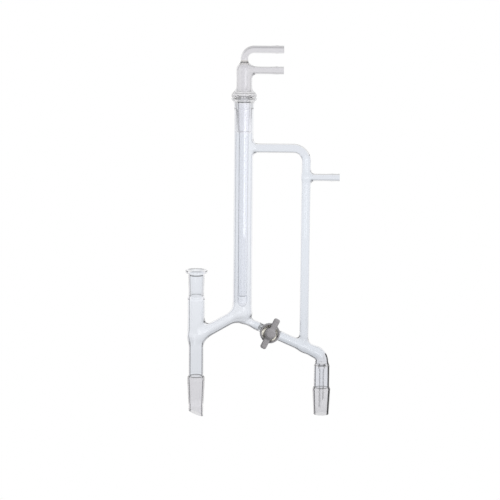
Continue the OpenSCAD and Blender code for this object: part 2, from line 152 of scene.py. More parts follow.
# Take-off line and receiver
FALL = math.radians(24)
LINE_IN_R = 6.0
LINE_OUT_R = 6.9
ELBOW_R = 14.0
ELBOW_TUBE_R = 8.8
SEAL_DROP = 4.4
RECEIVER_R = 10.6
DRIP_R = 3.3
DRIP_POINT_Z = -38.0
DRIP_CUT_L = 23.0
SEAL_LINE_R = 5.0        # inside it, the seal's underside shows no line
SKIM = 0.06              # how far the receiver's turned outside stands over the blended one

# Places that parts of the glass are told apart by
LEFT_X = COLUMN_X / 3                # the left column is left of it
RIGHT_X = COLUMN_X + COLUMN_R + 3    # beside the centre column
NOZZLE_X = BYPASS_X + BYPASS_R + 3   # beside the bypass
HALF_WAY_Z = 200.0                   # above the receiver, below the vacuum nozzle
FLAT = 0.7                           # upright share of a level face's normal

# Stopcock; places along its axis are counted from the take-off line's axis, positive to the back
BARREL_HALF = 17.0
PLUG_R = 8.5
PLUG_END_R = 5.1
PLUG_GAP = 0.05
BARREL_WALL = 2.2
PORT_R = 2.0
PLUG_HEAD_BACK = -19.0
PLUG_HEAD_FRONT = -22.0
BAR_BACK = -27.0
BAR_FRONT = -33.5
BAR_HALF_L = 22.25
BAR_HALF_W = 4.2
HANDLE_ANGLE = math.radians(62.6)
RING_R = 13.4
RING_W = 2.2
HUB_R = 7.5
HUB_TOP_R = 4.9
HUB_FRONT = -37.0
DRIVE_R = 5.05
DRIVE_FRONT = -29.05
NUT_R = 8.0
NUT_BACK, NUT_FRONT = 29.25, 21.25
TAIL_R = 3.05

# Slots of the head's and the finger's materials, in the order of their lists near the end
OUTSIDE, BORE = 0, 1
# Slots for the left or right side of a part hold glass with painted shade on that side
(FLASK_CONE, RECEIVER_LEFT, CENTRE_SOCKET, DRIP, PROBE_SOCKET, BYPASS, RIMS, RISER_LEFT_SHADE, RECEIVER_RIGHT_SHADE,
 COLUMN_LEFT_SHADE, CENTRE_SOCKET_LEFT_SHADE, ARMS, ARM_BORE) = range(2, 15)
JACKET, COLLAR_GLASS, FINGER_TIP, FINGER_RIMS, JACKET_LEFT_SHADE, FINGER_ARMS, FINGER_ARM_BORE = range(2, 9)


# ---------------- distance fields

def soft_union(a, b, fillet):
    """Smaller of two distances, with a fillet where they meet."""
    h = np.maximum(fillet - np.abs(a - b), 0) / fillet
    return np.minimum(a, b) - h * h * fillet / 4


def together(*parts):
    """Parts that run on into each other without a fillet."""
    return lambda x, y, z: np.minimum.reduce([part(x, y, z) for part in parts])


def blended(first, *others):
    """One field of a first part and (part, fillet) pairs."""
    def field(x, y, z):
        total = first(x, y, z)
        for part, fillet in others:
            total = soft_union(total, part(x, y, z), fillet)
        return total
    return field


def tube(p, q, r0, r1=None):
    """Round tube stretch from p to q in the glass plane, with round ends."""
    r1 = r0 if r1 is None else r1
    run = (q[0] - p[0], q[1] - p[1])
    square = run[0] ** 2 + run[1] ** 2

    def distance(x, y, z):
        t = np.clip(((x - p[0]) * run[0] + (z - p[1]) * run[1]) / square, 0, 1)
        dx = x - p[0] - t * run[0]
        dz = z - p[1] - t * run[1]
        return np.sqrt(dx * dx + y * y + dz * dz) - (r0 + (r1 - r0) * t)
    return distance


def bend(centre, sweep_r, start, stop, r):
    """Part of a ring in the glass plane, between two angles in degrees from +X towards +Z."""
    middle = math.radians((start + stop) / 2)
    half = math.radians((stop - start) / 2)

    def distance(x, y, z):
        dx = x - centre[0]
        dz = z - centre[1]
        turn = np.arctan2(dz, dx) - middle
        turn = np.clip((turn + math.pi) % (2 * math.pi) - math.pi, -half, half) + middle
        dx = dx - sweep_r * np.cos(turn)
        dz = dz - sweep_r * np.sin(turn)
        return np.sqrt(dx * dx + y * y + dz * dz) - r
    return distance


def softened(heights, radii, soften, step=0.2):
    """A profile and its slope at even heights, with its corners rounded off."""
    hs = np.arange(heights[0], heights[-1] + step, step)
    rs = np.interp(hs, heights, radii)
    reach = max(1, int(3 * soften / step))
    kernel = np.exp(-0.5 * (np.arange(-reach, reach + 1) * step / soften) ** 2)
    rs = np.convolve(np.pad(rs, reach, mode="edge"), kernel / kernel.sum(), mode="valid")
    return hs, rs, np.gradient(rs, step)


def turned(x0, outline, low, high, soften=0.8):
    """Solid of revolution about the upright axis at x0, from (radius, z) points, between two heights."""
    hs, rs, slopes = softened([z for r, z in outline], [r for r, z in outline], soften)

    def distance(x, y, z):
        side = np.hypot(x - x0, y) - np.interp(z, hs, rs)
        side = side / np.hypot(1, np.interp(z, hs, slopes))
        return np.maximum(side, np.maximum(low - z, z - high))
    return distance


def disc(x0, z0, r, edge):
    """Flat disc with a round edge."""
    return lambda x, y, z: np.hypot(np.maximum(np.hypot(x - x0, y) - r, 0), z - z0) - edge


def lip(x0, top, r, height, rounding):
    """Thick flat lip with round edges."""
    def distance(x, y, z):
        side = np.hypot(x - x0, y) - r
        return rounded(side, np.abs(z - top + height / 2) - height / 2, rounding)
    return distance


def hose_end(start, end, z0):
    """Level tube that ends in a hose nozzle, drawn past its end, which is cut off later."""
    ridge_half = 1.6
    ridge_r = NOZZLE_R + 1.4 * RIDGE_H       # softening takes the rest away
    outline = [(-4, NOZZLE_R), (RIDGE_FROM_END - ridge_half, NOZZLE_R), (RIDGE_FROM_END, ridge_r),
               (RIDGE_FROM_END + ridge_half, NOZZLE_R), (NOZZLE_L - 1, NOZZLE_R), (NOZZLE_L + 1, OUTLET_R),
               (40, OUTLET_R)]
    hs, rs, slopes = softened([h for h, r in outline], [r for h, r in outline], 0.6)

    def distance(x, y, z):
        back = end - x
        side = np.hypot(y, z - z0) - np.interp(back, hs, rs)
        return np.maximum(side, np.maximum(-3 - back, back - NOZZLE_L - 4))
    return together(tube((start, z0), (end - NOZZLE_L - 2, z0), OUTLET_R), distance)


def rounded(out, end, rounding):
    """Distance to a solid whose side and end distances are given, with its edge rounded."""
    out = out + rounding
    end = end + rounding
    return np.minimum(np.maximum(out, end), 0) + np.hypot(np.maximum(out, 0), np.maximum(end, 0)) - rounding


def barrel(extra, half, rounding):
    """The stopcock's tapered barrel, with round edges."""
    middle = (PLUG_R + PLUG_END_R) / 2 + extra
    slope = (PLUG_R - PLUG_END_R) / (2 * BARREL_HALF)

    def distance(x, y, z):
        dx = x - COCK_X
        dz = z - COCK_Z
        along = dx * COCK_AXIS.x + y * COCK_AXIS.y + dz * COCK_AXIS.z
        across = np.sqrt(np.maximum(dx * dx + y * y + dz * dz - along * along, 0))
        return rounded(across - (middle - slope * along), np.abs(along) - half, rounding)
    return distance


# ---------------- meshes

def levels(*spans):
    """Grid lines over (start, stop, step) spans that follow on from each other."""
    lines = [np.linspace(a, b, max(2, round((b - a) / step) + 1))[:-1] for a, b, step in spans]
    return np.concatenate(lines + [[spans[-1][1]]])


def settle(points, field, reach=0.05):
    """Moves points onto the field's zero surface."""
    x, y, z = points.T
    gradient = np.stack([
        field(x + reach, y, z) - field(x - reach, y, z),
        field(x, y + reach, z) - field(x, y - reach, z),
        field(x, y, z + reach) - field(x, y, z - reach)], axis=1) / (2 * reach)
    square = np.maximum((gradient ** 2).sum(axis=1), 0.25)
    step = np.clip(field(x, y, z) / square, -1, 1)
    return points - gradient * step[:, None]


def skin(field, xs, ys, zs, rounds=3):
    """Points and four-sided faces of the field's zero surface, found on a box grid and evened out."""
    f = field(*np.meshgrid(xs, ys, zs, indexing="ij"))
    inside = f < 0
    nx, ny, nz = (n - 1 for n in f.shape)
    count = np.zeros((nx, ny, nz), dtype=np.int8)
    for i in (0, 1):
        for j in (0, 1):
            for k in (0, 1):
                count += inside[i:i + nx, j:j + ny, k:k + nz]
    active = (count > 0) & (count < 8)
    number = np.full(active.shape, -1, dtype=np.int64)
    number[active] = np.arange(active.sum())
    cell = np.array(np.nonzero(active))
    grid = (xs, ys, zs)
    total = np.zeros((cell.shape[1], 3))
    hits = np.zeros(cell.shape[1])
    faces = []
    for axis in range(3):
        across, up = (axis + 1) % 3, (axis + 2) % 3
        for i in (0, 1):
            for j in (0, 1):
                a = cell.copy()
                a[across] += i
                a[up] += j
                b = a.copy()
                b[axis] += 1
                fa, fb = f[tuple(a)], f[tuple(b)]
                hit = (fa < 0) != (fb < 0)
                share = np.where(hit, fa / np.where(hit, fa - fb, 1), 0)
                place = np.stack([grid[n][a[n]] for n in range(3)], axis=1)
                place[:, axis] += share * (grid[axis][b[axis]] - grid[axis][a[axis]])
                total += np.where(hit[:, None], place, 0)
                hits += hit
        low = [slice(1, -1)] * 3
        low[axis] = slice(0, -1)
        high = [slice(1, -1)] * 3
        high[axis] = slice(1, None)
        a, b = inside[tuple(low)], inside[tuple(high)]
        for outward in (True, False):
            edge = np.array(np.nonzero(a & ~b if outward else ~a & b))
            edge[across] += 1
            edge[up] += 1
            ring = []
            for i, j in ((1, 1), (0, 1), (0, 0), (1, 0)):
                c = edge.copy()
                c[across] -= i
                c[up] -= j
                ring.append(number[tuple(c)])
            quads = np.stack(ring, axis=1)
            faces.append(quads if outward else quads[:, ::-1])
    faces = np.concatenate(faces)
    points = settle(total / hits[:, None], field)
    ends = np.concatenate([faces, np.roll(faces, 1, axis=1)]).ravel()
    others = np.concatenate([np.roll(faces, 1, axis=1), faces]).ravel()
    near = np.bincount(ends, minlength=len(points))
    for _ in range(rounds):
        middle = np.stack([np.bincount(ends, points[others, n], len(points)) for n in range(3)], axis=1)
        points = settle(0.4 * points + 0.6 * middle / near[:, None], field)
    return settle(points, field), faces


def solid(name, points, faces):
    """A mesh object from points in millimetres."""
    mesh = bpy.data.meshes.new(name)
    corners = [tuple(p) for p in np.asarray(points, dtype=float) * MM]
    mesh.from_pydata(corners, [], [tuple(f) for f in faces])
    mesh.update()
    piece = bpy.data.objects.new(name, mesh)
    bpy.context.collection.objects.link(piece)
    return piece


def spun(name, outline, centre, axis=(0, 0, 1), steps=STEPS):
    """Closed solid of revolution from (radius, height) points, with a flat disc at either end."""
    turn = Vector((0, 0, 1)).rotation_difference(Vector(axis)).to_matrix()
    points, rings = [], []
    for r, h in [(0, outline[0][1]), *outline, (0, outline[-1][1])]:
        corners = 1 if r == 0 else steps
        rings.append(range(len(points), len(points) + corners))
        for i in range(corners):
            angle = 2 * math.pi * i / steps
            spot = turn @ Vector((r * math.cos(angle), r * math.sin(angle), h)) + Vector(centre)
            points.append(tuple(spot))
    faces = []
    for below, above in zip(rings, rings[1:]):
        for i in range(steps):
            j = (i + 1) % steps
            if len(below) == 1:
                faces.append((below[0], above[j], above[i]))
            elif len(above) == 1:
                faces.append((below[i], below[j], above[0]))
            else:
                faces.append((below[i], below[j], above[j], above[i]))
    return solid(name, points, faces)


def rod(name, r, low, high, centre, axis=(0, 0, 1), steps=STEPS):
    """Closed round rod between two heights along an axis through a centre."""
    return spun(name, [(r, low), (r, high)], centre, axis, steps)


def swept(name, path, r, steps=48):
    """Closed round rod along a path in the glass plane."""
    path = np.array(path, dtype=float)
    way = np.gradient(path, axis=0)
    way /= np.linalg.norm(way, axis=1)[:, None]
    points, faces = [], []
    for (x, z), (wx, wz) in zip(path, way):
        for i in range(steps):
            angle = 2 * math.pi * i / steps
            out = r * math.cos(angle)
            points.append((x - wz * out, r * math.sin(angle), z + wx * out))
    for k in range(len(path) - 1):
        for i in range(steps):
            j = (i + 1) % steps
            faces.append((k * steps + i, k * steps + j, (k + 1) * steps + j, (k + 1) * steps + i))
    last = (len(path) - 1) * steps
    faces.append(tuple(reversed(range(steps))))
    faces.append(tuple(range(last, last + steps)))
    return solid(name, points, faces)


def block(name, corner, size, tilt=0.0):
    """Box cutter from its corner and size in millimetres, turned about Y at that corner by tilt degrees."""
    turn = Matrix.Rotation(math.radians(tilt), 3, "Y")
    points = []
    for k in (0, 1):
        for i, j in ((0, 0), (1, 0), (1, 1), (0, 1)):
            points.append(tuple(turn @ Vector((i * size[0], j * size[1], k * size[2])) + Vector(corner)))
    faces = [(3, 2, 1, 0), (4, 5, 6, 7), (0, 1, 5, 4), (1, 2, 6, 5), (2, 3, 7, 6), (3, 0, 4, 7)]
    return solid(name, points, faces)


def dress(piece, *materials):
    """Gives a piece its materials, one for each slot."""
    piece.data.materials.clear()
    for material in materials:
        piece.data.materials.append(material)
    return piece


def combine(target, other, operation):
    """Boolean of two closed meshes; the other one is used up."""
    step = target.modifiers.new(operation, "BOOLEAN")
    step.operation = operation
    step.object = other
    step.solver = "MANIFOLD"
    made = bpy.data.meshes.new_from_object(target.evaluated_get(bpy.context.evaluated_depsgraph_get()))
    target.modifiers.clear()
    target.data = made
    bpy.data.objects.remove(other)


def cut(target, *others):
    """Takes other meshes away from a target; the faces that they leave go to the bore's slot."""
    for other in others:
        dress(other, *target.data.materials)
        if len(target.data.materials) > 1:
            other.data.polygons.foreach_set("material_index", [BORE] * len(other.data.polygons))
        combine(target, other, "DIFFERENCE")
    return target


def smooth(piece, angle=35):
    """Shades a piece smooth, but for edges over an angle in degrees."""
    piece.data.shade_smooth()
    piece.data.set_sharp_from_angle(angle=math.radians(angle))
    return piece


# ---------------- glass of the head

def on_line(x):
    """Point of the take-off line's axis at x."""
    return (x, COCK_Z - (x - COCK_X) * math.tan(FALL))


FALL_WAY = (math.cos(FALL), -math.sin(FALL))
LINE_CORNER = on_line(RECEIVER_X)
ELBOW_RUN = ELBOW_R * math.tan((math.pi / 2 - FALL) / 2)
ELBOW_FROM = (LINE_CORNER[0] - ELBOW_RUN * FALL_WAY[0], LINE_CORNER[1] - ELBOW_RUN * FALL_WAY[1])
ELBOW_TO_Z = LINE_CORNER[1] - ELBOW_RUN
ELBOW_CENTRE = (RECEIVER_X - ELBOW_R, ELBOW_TO_Z)
SEAL_Z = ELBOW_TO_Z - SEAL_DROP
SEAL_UNDER_Z = SEAL_Z - WALL
VAPOUR_TO = (COLUMN_X, VAPOUR_FROM[1] + COLUMN_X * math.tan(math.radians(VAPOUR_SLOPE)))
BYPASS_CORNER = (BYPASS_X - BYPASS_BEND_R, BYPASS_Z - BYPASS_BEND_R)
RECEIVER_END_Z = RECEIVER_CONE_Z - RECEIVER_CONE_L
PROBE_END_Z = PROBE_RIM_Z - SMALL_JOINT_L
LAND = 1.6               # plain glass above a cone's large end
SHOULDER = 3.0           # length over which the land narrows to its tube
SEAM = LAND + SHOULDER
PAST = 8.0               # how far a shape is drawn past an end that is cut off
COLUMN_FILLET = 10.0
LINE_FILLET = 8.0
COCK_FILLET = 3.5
BYPASS_FILLET = 7.0
NOZZLE_FILLET = 6.0


def tubes(inset, thin_inset):
    """The narrow tubes: outside with no inset, bore when inset by the walls, which stops at the barrel."""
    stop = PLUG_R + BARREL_WALL + 1 + LINE_IN_R - inset if inset else 0
    line_in_end = (COCK_X - stop * FALL_WAY[0], COCK_Z - stop * FALL_WAY[1])
    stop = PLUG_R + BARREL_WALL + 1 + LINE_OUT_R - inset if inset else 0
    line_out_start = (COCK_X + stop * FALL_WAY[0], COCK_Z + stop * FALL_WAY[1])
    neck_end = on_line(COLUMN_X + 18)
    line_in = together(
        tube(on_line(COLUMN_X + 4), neck_end, 0.65 * LINE_IN_R - inset, LINE_IN_R - inset),
        tube(neck_end, line_in_end, LINE_IN_R - inset))
    line_out = tube(line_out_start, on_line(BYPASS_X), LINE_OUT_R - inset)
    swell = tube(on_line(BYPASS_X), ELBOW_FROM, LINE_OUT_R - inset, ELBOW_TUBE_R - inset)
    elbow = bend(ELBOW_CENTRE, ELBOW_R, 0, 90 - math.degrees(FALL), ELBOW_TUBE_R - inset)
    bypass = together(
        tube((COLUMN_X, BYPASS_Z), (BYPASS_CORNER[0], BYPASS_Z), BYPASS_R - thin_inset),
        bend(BYPASS_CORNER, BYPASS_BEND_R, 0, 90, BYPASS_R - thin_inset),
        tube((BYPASS_X, BYPASS_CORNER[1]), on_line(BYPASS_X), BYPASS_R - thin_inset))
    return line_in, together(line_out, swell, elbow), bypass


def receiver_outline(extra, low, high):
    """(radius, z) points of the receiver's outside, made wider by extra."""
    return [(RECEIVER_CONE_END_R + extra, low), (RECEIVER_CONE_END_R + extra, RECEIVER_END_Z),
            (CONE_R + extra, RECEIVER_CONE_Z), (CONE_R + extra, RECEIVER_CONE_Z + LAND),
            (RECEIVER_R + extra, RECEIVER_CONE_Z + SEAM), (RECEIVER_R + extra, high)]


def head_outside():
    """Outside of the whole fused glass body."""
    left = blended(
        turned(0, [
            (TIP_R, TIP_Z - PAST - 2), (TIP_R, -CONE_L - 0.3), (CONE_END_R, -CONE_L), (CONE_R, 0),
            (CONE_R, LAND), (NECK_R, SEAM), (NECK_R, NECK_TOP_Z), (RISER_R, RISER_FROM_Z),
            (RISER_R, PROBE_END_Z), (SMALL_JOINT_END_R + SOCKET_WALL + 1, PROBE_END_Z + 2),
            (SMALL_JOINT_R + SOCKET_WALL, PROBE_RIM_Z)],
            TIP_Z - PAST, PROBE_RIM_Z - BEAD_R, 0.45),
        (lip(0, PROBE_RIM_Z, PROBE_RIM_R, PROBE_LIP_H, BEAD_R), 1.0))
    centre = blended(
        together(
            tube((COLUMN_X, COLUMN_BOTTOM_Z), (COLUMN_X, COLUMN_SPLICE_Z), COLUMN_R),
            turned(COLUMN_X, [
                (COLUMN_R, COLUMN_SPLICE_Z - 10), (COLUMN_R, RIM_Z - 17),
                (MOUTH_R - BEAD_R - 0.9, RIM_Z - 3.6), (MOUTH_R - BEAD_R, RIM_Z)],
                COLUMN_SPLICE_Z - 5, RIM_Z - BEAD_R, 2)),
        (disc(COLUMN_X, RIM_Z - BEAD_R, MOUTH_R - BEAD_R, BEAD_R), 1.5))
    receiver = turned(
        RECEIVER_X,
        receiver_outline(0, RECEIVER_END_Z - PAST, SEAL_Z - 1)
        + [(ELBOW_TUBE_R, ELBOW_TO_Z), (ELBOW_TUBE_R, ELBOW_TO_Z + 2)],
        RECEIVER_END_Z - PAST, ELBOW_TO_Z + 1)
    line_in, line_out, bypass = tubes(0, 0)
    return blended(
        left,
        (tube(VAPOUR_FROM, VAPOUR_TO, VAPOUR_R), COLUMN_FILLET),
        (centre, COLUMN_FILLET),
        (line_in, LINE_FILLET),
        (barrel(PLUG_GAP + BARREL_WALL, BARREL_HALF, 0.7), COCK_FILLET),
        (together(line_out, receiver), COCK_FILLET),
        (bypass, BYPASS_FILLET),
        (hose_end(BYPASS_X, VACUUM_END, VACUUM_Z), NOZZLE_FILLET))


def head_bore():
    """Inside of the fused glass body, but for the receiver's and the upper socket's."""
    left = turned(0, [
        (TIP_R - WALL, TIP_Z - 2 * PAST), (TIP_R - WALL, -CONE_L), (CONE_R - WALL, LAND),
        (NECK_R - WALL, SEAM), (NECK_R - WALL, NECK_TOP_Z), (RISER_R - WALL, RISER_FROM_Z),
        (RISER_R - WALL, PROBE_END_Z - 3), (SMALL_JOINT_END_R, PROBE_END_Z),
        (SMALL_JOINT_R, PROBE_RIM_Z), (SMALL_JOINT_R, PROBE_RIM_Z + PAST)],
        TIP_Z - 1.5 * PAST, PROBE_RIM_Z + PAST - 2, 0.5)
    centre = together(
        tube((COLUMN_X, COLUMN_BOTTOM_Z), (COLUMN_X, COLUMN_SPLICE_Z), COLUMN_R - WALL),
        turned(COLUMN_X, [(COLUMN_R - WALL, COLUMN_SPLICE_Z - 10), (COLUMN_R - WALL, RING_SEAL_Z + 5)],
               COLUMN_SPLICE_Z - 5, RING_SEAL_Z))
    receiver = turned(RECEIVER_X, [
        (DRIP_R - THIN_WALL, SEAL_Z - 2), (DRIP_R - THIN_WALL, SEAL_Z), (RECEIVER_R - WALL, SEAL_Z + 3),
        (ELBOW_TUBE_R - WALL, ELBOW_TO_Z), (ELBOW_TUBE_R - WALL, ELBOW_TO_Z + 2)],
        SEAL_Z + 0.3, ELBOW_TO_Z + 1, 0.5)
    line_in, line_out, bypass = tubes(WALL, THIN_WALL)
    vacuum = tube((BYPASS_X, VACUUM_Z), (VACUUM_END + 2, VACUUM_Z), OUTLET_R - WALL)
    return blended(
        left,
        (tube(VAPOUR_FROM, VAPOUR_TO, VAPOUR_R - WALL), COLUMN_FILLET),
        (centre, COLUMN_FILLET),
        (line_in, LINE_FILLET),
        (together(line_out, receiver), COCK_FILLET),
        (bypass, BYPASS_FILLET),
        (vacuum, NOZZLE_FILLET))


def drip_tube():
    """The inner drip tube with its slanted point."""
    top = SEAL_Z - 0.8
    slant = math.degrees(math.atan2(2 * DRIP_R, DRIP_CUT_L))
    return cut(
        rod("drip", DRIP_R, DRIP_POINT_Z, top, (RECEIVER_X, 0, 0)),
        rod("bore", DRIP_R - THIN_WALL, DRIP_POINT_Z - 2, top + 2, (RECEIVER_X, 0, 0)),
        block("slant", (RECEIVER_X - DRIP_R, -8, DRIP_POINT_Z - 8), (14, 16, 60), slant))


def outside_slot(x, z, flat):
    """Slot of a face of the head's outside; flat says that it is nearly level."""
    if x < LEFT_X and z < NECK_TOP_Z:
        return FLASK_CONE
    # The receiver's right half takes painted shade.
    if x > RECEIVER_X - CONE_R and z < ELBOW_TO_Z + 4:
        return RECEIVER_LEFT if x < RECEIVER_X else RECEIVER_RIGHT_SHADE
    if x > RECEIVER_X + 1 and z < ELBOW_TO_Z + 12:
        return RECEIVER_RIGHT_SHADE
    if flat and (z > RIM_Z - 4 or x < LEFT_X and z > PROBE_RIM_Z - 6):
        return RIMS
    if z > RIM_Z - 8:
        return CENTRE_SOCKET
    if x > RIGHT_X:
        return BYPASS
    # The left column's left half takes a painted shade line.
    if x < 0:
        return RISER_LEFT_SHADE
    # The centre column's left half takes painted shade.
    if COLUMN_X - COLUMN_R - 1 < x < COLUMN_X and z > COLUMN_BOTTOM_Z + 15:
        return COLUMN_LEFT_SHADE
    return OUTSIDE


def bore_slot(x, y, z):
    """Slot of a face of the blended bore."""
    from_centre = math.hypot(x - COLUMN_X, y)
    # The socket's left half takes a painted shade line.
    if from_centre < SMALL_JOINT_R + SOCKET_WALL + 0.1 and SOCKET_END_Z - 0.1 < z < GAUGE_Z:
        return CENTRE_SOCKET if x > COLUMN_X else CENTRE_SOCKET_LEFT_SHADE
    if x < LEFT_X and y < 0 and z > PROBE_END_Z:
        return PROBE_SOCKET
    return BORE


def last_slot(slot, x, y, z):
    """Slot of a face of the finished head, from the one that it has; y is negative on the front half."""
    from_receiver = math.hypot(x - RECEIVER_X, y)
    if abs(z - SEAL_UNDER_Z) < 0.05 and y < -1 and from_receiver < SEAL_LINE_R:
        return RIMS
    if slot in (RECEIVER_LEFT, RECEIVER_RIGHT_SHADE) and y > 0 and abs(z - SEAL_Z) < 2.5:
        return RIMS
    if slot == BORE and abs(z - SEAL_Z) < 3.2 and from_receiver < RECEIVER_R - WALL - 0.15:
        return RIMS
    if slot == BORE and z > SOCKET_END_Z - 1 and math.hypot(x - COLUMN_X, y) < MOUTH_R:
        return CENTRE_SOCKET
    in_bypass_end = z > BYPASS_Z - 9 and x > RIGHT_X
    in_nozzle = z > HALF_WAY_Z and x > NOZZLE_X
    if slot in (BORE, BYPASS) and (in_bypass_end or in_nozzle):
        return ARM_BORE if slot == BORE else ARMS
    return slot


def make_head(glass):
    """The fused glass body, whose glass holds a material for each slot."""
    xs = levels((-17.6, 200, 1.1))
    ys = levels((-18.15, 18.15, 1.1))
    zs = levels((-66, -36, 2.2), (-36, -1, 1.8), (-1, 8, 0.7), (8, 110, 1.8), (110, 118, 1.0),
                (118, 145, 2.2), (145, 153, 0.8), (153, 270, 2.6), (270, 286, 1.4), (286, 330, 1.5),
                (330, 364, 2.4), (364, 378, 1.2), (378, 388, 0.8))
    head = dress(solid("blown_head", *skin(head_outside(), xs, ys, zs)), *glass)
    for face in head.data.polygons:
        flat = abs(face.normal.z) > FLAT
        face.material_index = outside_slot(face.center.x / MM, face.center.z / MM, flat)

    zs = levels((-80, -36, 2.2), (-36, 12, 2.0), (12, 108, 1.8), (108, 118, 1.0), (118, 170, 2.4),
                (170, 270, 2.8), (270, 286, 1.4), (286, 330, 1.6), (330, 366, 2.6), (366, 374, 1.0))
    bore = solid("bore", *skin(head_bore(), xs, ys, zs))
    socket_r = SMALL_JOINT_END_R + SOCKET_WALL
    cut(bore, spun("socket", [
        (socket_r - 0.6, SOCKET_END_Z), (socket_r - 0.1, SOCKET_END_Z + 0.5),
        (SMALL_JOINT_R + SOCKET_WALL, GAUGE_Z)], (COLUMN_X, 0, 0)))
    cut(head, bore)
    for face in head.data.polygons:
        if face.material_index == BORE:
            face.material_index = bore_slot(*(face.center / MM))

    outline = receiver_outline(SKIM, RECEIVER_END_Z - 4, SEAL_Z - 1.2)
    sheath = dress(spun("receiver_outside", outline, (RECEIVER_X, 0, 0)), *glass)
    for face in sheath.data.polygons:
        # The right half of the receiver's outside takes painted shade.
        face.material_index = RECEIVER_LEFT if face.center.x / MM < RECEIVER_X else RECEIVER_RIGHT_SHADE
    combine(head, sheath, "UNION")

    inner_r = RECEIVER_R - WALL
    cone_bore = RECEIVER_CONE_END_R - WALL
    taper = (PLUG_R - PLUG_END_R) / (2 * BARREL_HALF)
    port_half = PLUG_R + BARREL_WALL + 4
    tip = Matrix.Rotation(math.radians(TIP_CUT), 3, "Y") @ Vector((-60, -30, -40))
    cut(head,
        spun("centre_socket", [
            (SMALL_JOINT_END_R, SOCKET_END_Z - 2), (SMALL_JOINT_END_R, SOCKET_END_Z),
            (SMALL_JOINT_R, GAUGE_Z), (10.6, RIM_Z - 5), (11.6, RIM_Z - 2), (12.5, RIM_Z),
            (13.4, RIM_Z + 2)], (COLUMN_X, 0, 0)),
        spun("receiver_bore", [
            (cone_bore, RECEIVER_END_Z - 2), (cone_bore, RECEIVER_END_Z),
            (CONE_R - WALL, RECEIVER_CONE_Z + LAND), (inner_r, RECEIVER_CONE_Z + SEAM),
            (inner_r, SEAL_UNDER_Z - 2), (inner_r - 0.5, SEAL_UNDER_Z - 0.9),
            (inner_r - 1.4, SEAL_UNDER_Z - 0.2), (inner_r - 2.8, SEAL_UNDER_Z),
            (SEAL_LINE_R, SEAL_UNDER_Z)], (RECEIVER_X, 0, 0)),
        spun("plug_bore", [
            (PLUG_R + PLUG_GAP + 2 * taper, -BARREL_HALF - 2),
            (PLUG_END_R + PLUG_GAP - 2 * taper, BARREL_HALF + 2)], (COCK_X, 0, COCK_Z), COCK_AXIS),
        rod("port", PORT_R, -port_half, port_half, (COCK_X, 0, COCK_Z), (FALL_WAY[0], 0, FALL_WAY[1]), 32),
        block("vacuum_end", (VACUUM_END, -20, VACUUM_Z - 20), (40, 40, 40)),
        block("receiver_end", (RECEIVER_X - 30, -30, RECEIVER_END_Z - 40), (60, 60, 40)),
        block("tip_end", (CONE_END_R + tip.x, tip.y, TIP_Z + tip.z), (90, 60, 40), TIP_CUT))

    drip = dress(drip_tube(), *glass)
    drip.data.polygons.foreach_set("material_index", [DRIP] * len(drip.data.polygons))
    combine(head, drip, "UNION")
    cut(head, rod("drip_bore", DRIP_R - THIN_WALL, DRIP_POINT_Z - 2, SEAL_Z + 1.5, (RECEIVER_X, 0, 0)))
    for face in head.data.polygons:
        face.material_index = last_slot(face.material_index, *(face.center / MM))
    return smooth(head)


# ---------------- cold finger

COLLAR = [(16.2, 0), (17.0, 2), (16.2, 5), (11.4, 10), (HEAD_R, 13)]    # (radius, height above the rim)


def finger_outside():
    """Outside of the cold finger, with both water arms."""
    body = together(
        tube((COLUMN_X, JACKET_END_Z + JACKET_R), (COLUMN_X, JACKET_SPLICE_Z), JACKET_R),
        turned(COLUMN_X, [
            (JACKET_R, JACKET_SPLICE_Z - 20), (JACKET_R, SOCKET_END_Z - 2),
            (SMALL_JOINT_END_R - JOINT_GAP, SOCKET_END_Z), (SMALL_JOINT_R - JOINT_GAP, GAUGE_Z),
            (SMALL_JOINT_R - JOINT_GAP, COLLAR_Z + 6)], JACKET_SPLICE_Z - 5, COLLAR_Z + 4, 0.5))
    collar = turned(COLUMN_X, [(COLLAR[0][0], COLLAR_Z - 1)]
                    + [(r, COLLAR_Z + h) for r, h in COLLAR] + [(HEAD_R, DOME_Z)],
                    COLLAR_Z, DOME_Z - HEAD_R, 0.8)
    dome = tube((COLUMN_X, COLLAR_Z + 20), (COLUMN_X, DOME_Z - HEAD_R), HEAD_R)
    high = together(
        tube((COLUMN_X, DOME_Z - HEAD_R), (COLUMN_X, HIGH_WATER_Z - WATER_BEND_R), OUTLET_R),
        bend((COLUMN_X + WATER_BEND_R, HIGH_WATER_Z - WATER_BEND_R), WATER_BEND_R, 90, 180, OUTLET_R),
        hose_end(COLUMN_X + WATER_BEND_R, WATER_END, HIGH_WATER_Z))
    low = hose_end(COLUMN_X, WATER_END, LOW_WATER_Z)
    return blended(body, (together(collar, dome), 1), (low, 8), (high, 3))


def finger_bore():
    """Inside of the cold finger, but for its water tube."""
    body = together(
        tube((COLUMN_X, JACKET_END_Z + JACKET_R), (COLUMN_X, JACKET_SPLICE_Z), JACKET_R - THIN_WALL),
        turned(COLUMN_X, [
            (JACKET_R - THIN_WALL, JACKET_SPLICE_Z - 20), (JACKET_R - THIN_WALL, SOCKET_END_Z),
            (SMALL_JOINT_R - SOCKET_WALL, GAUGE_Z), (SMALL_JOINT_R - SOCKET_WALL, COLLAR_Z + 10)],
            JACKET_SPLICE_Z - 5, COLLAR_Z + 6, 0.5))
    collar = turned(COLUMN_X, [
        (13.4, COLLAR_Z), (14.6, COLLAR_Z + 2.2), (14.4, COLLAR_Z + 4.4), (10.2, COLLAR_Z + 9.4),
        (HEAD_R - WALL, COLLAR_Z + 13), (HEAD_R - WALL, DOME_Z)], COLLAR_Z + WALL, DOME_Z - HEAD_R, 0.7)
    dome = tube((COLUMN_X, COLLAR_Z + 20), (COLUMN_X, DOME_Z - HEAD_R), HEAD_R - WALL)
    low = tube((COLUMN_X, LOW_WATER_Z), (WATER_END + PAST, LOW_WATER_Z), OUTLET_R - WALL)
    return blended(body, (together(collar, dome), 1), (low, 8))


